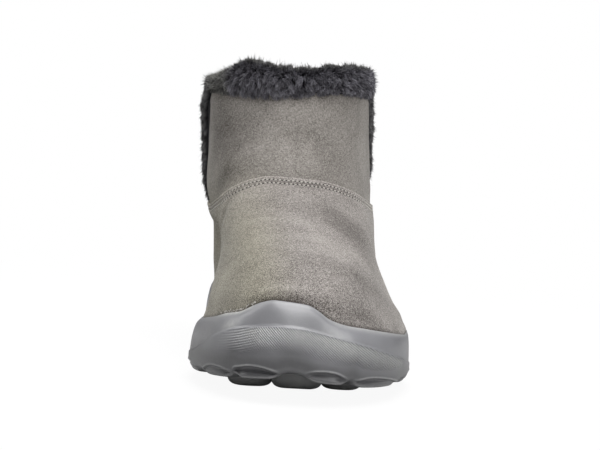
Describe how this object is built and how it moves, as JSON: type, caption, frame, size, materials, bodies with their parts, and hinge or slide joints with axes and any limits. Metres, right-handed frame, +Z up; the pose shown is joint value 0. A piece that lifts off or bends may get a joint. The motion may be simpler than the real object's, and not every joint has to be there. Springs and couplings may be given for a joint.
{
  "type": "pull-on ankle boot",
  "caption": "Low pull-on suede ankle boot with a rolled faux-fur collar, fur side slits and a chunky moulded foam sole, for a left foot.",
  "frame": {"origin": "on the floor, under the middle of the sole's box", "axes": "+Z up, -Y toward the toe, +X toward the outer side of the left foot"},
  "size_m": [0.1048, 0.2678, 0.1492],
  "materials": {
    "suede": "warm grey napped suede",
    "fur": "charcoal faux-fur pile",
    "footbed": "charcoal pile footbed",
    "foam": "matt grey moulded foam",
    "rubber": "dark grey rubber"
  },
  "bodies": {
    "root": {"upper": "suede", "fur_collar": "fur", "fur_gusset_inner": "fur", "fur_gusset_outer": "fur", "insole": "footbed", "midsole": "foam", "outsole_pod_toe_inner": "rubber", "outsole_pod_toe_middle": "rubber", "outsole_pod_toe_outer": "rubber", "outsole_pod_ball_inner": "rubber", "outsole_pod_ball_middle": "rubber", "outsole_pod_ball_outer": "rubber", "outsole_pod_waist_inner": "rubber", "outsole_pod_waist_outer": "rubber", "outsole_pod_heel_front_inner": "rubber", "outsole_pod_heel_front_outer": "rubber", "outsole_pod_heel_back_inner": "rubber", "outsole_pod_heel_back_outer": "rubber"}
  },
  "joints": []
}
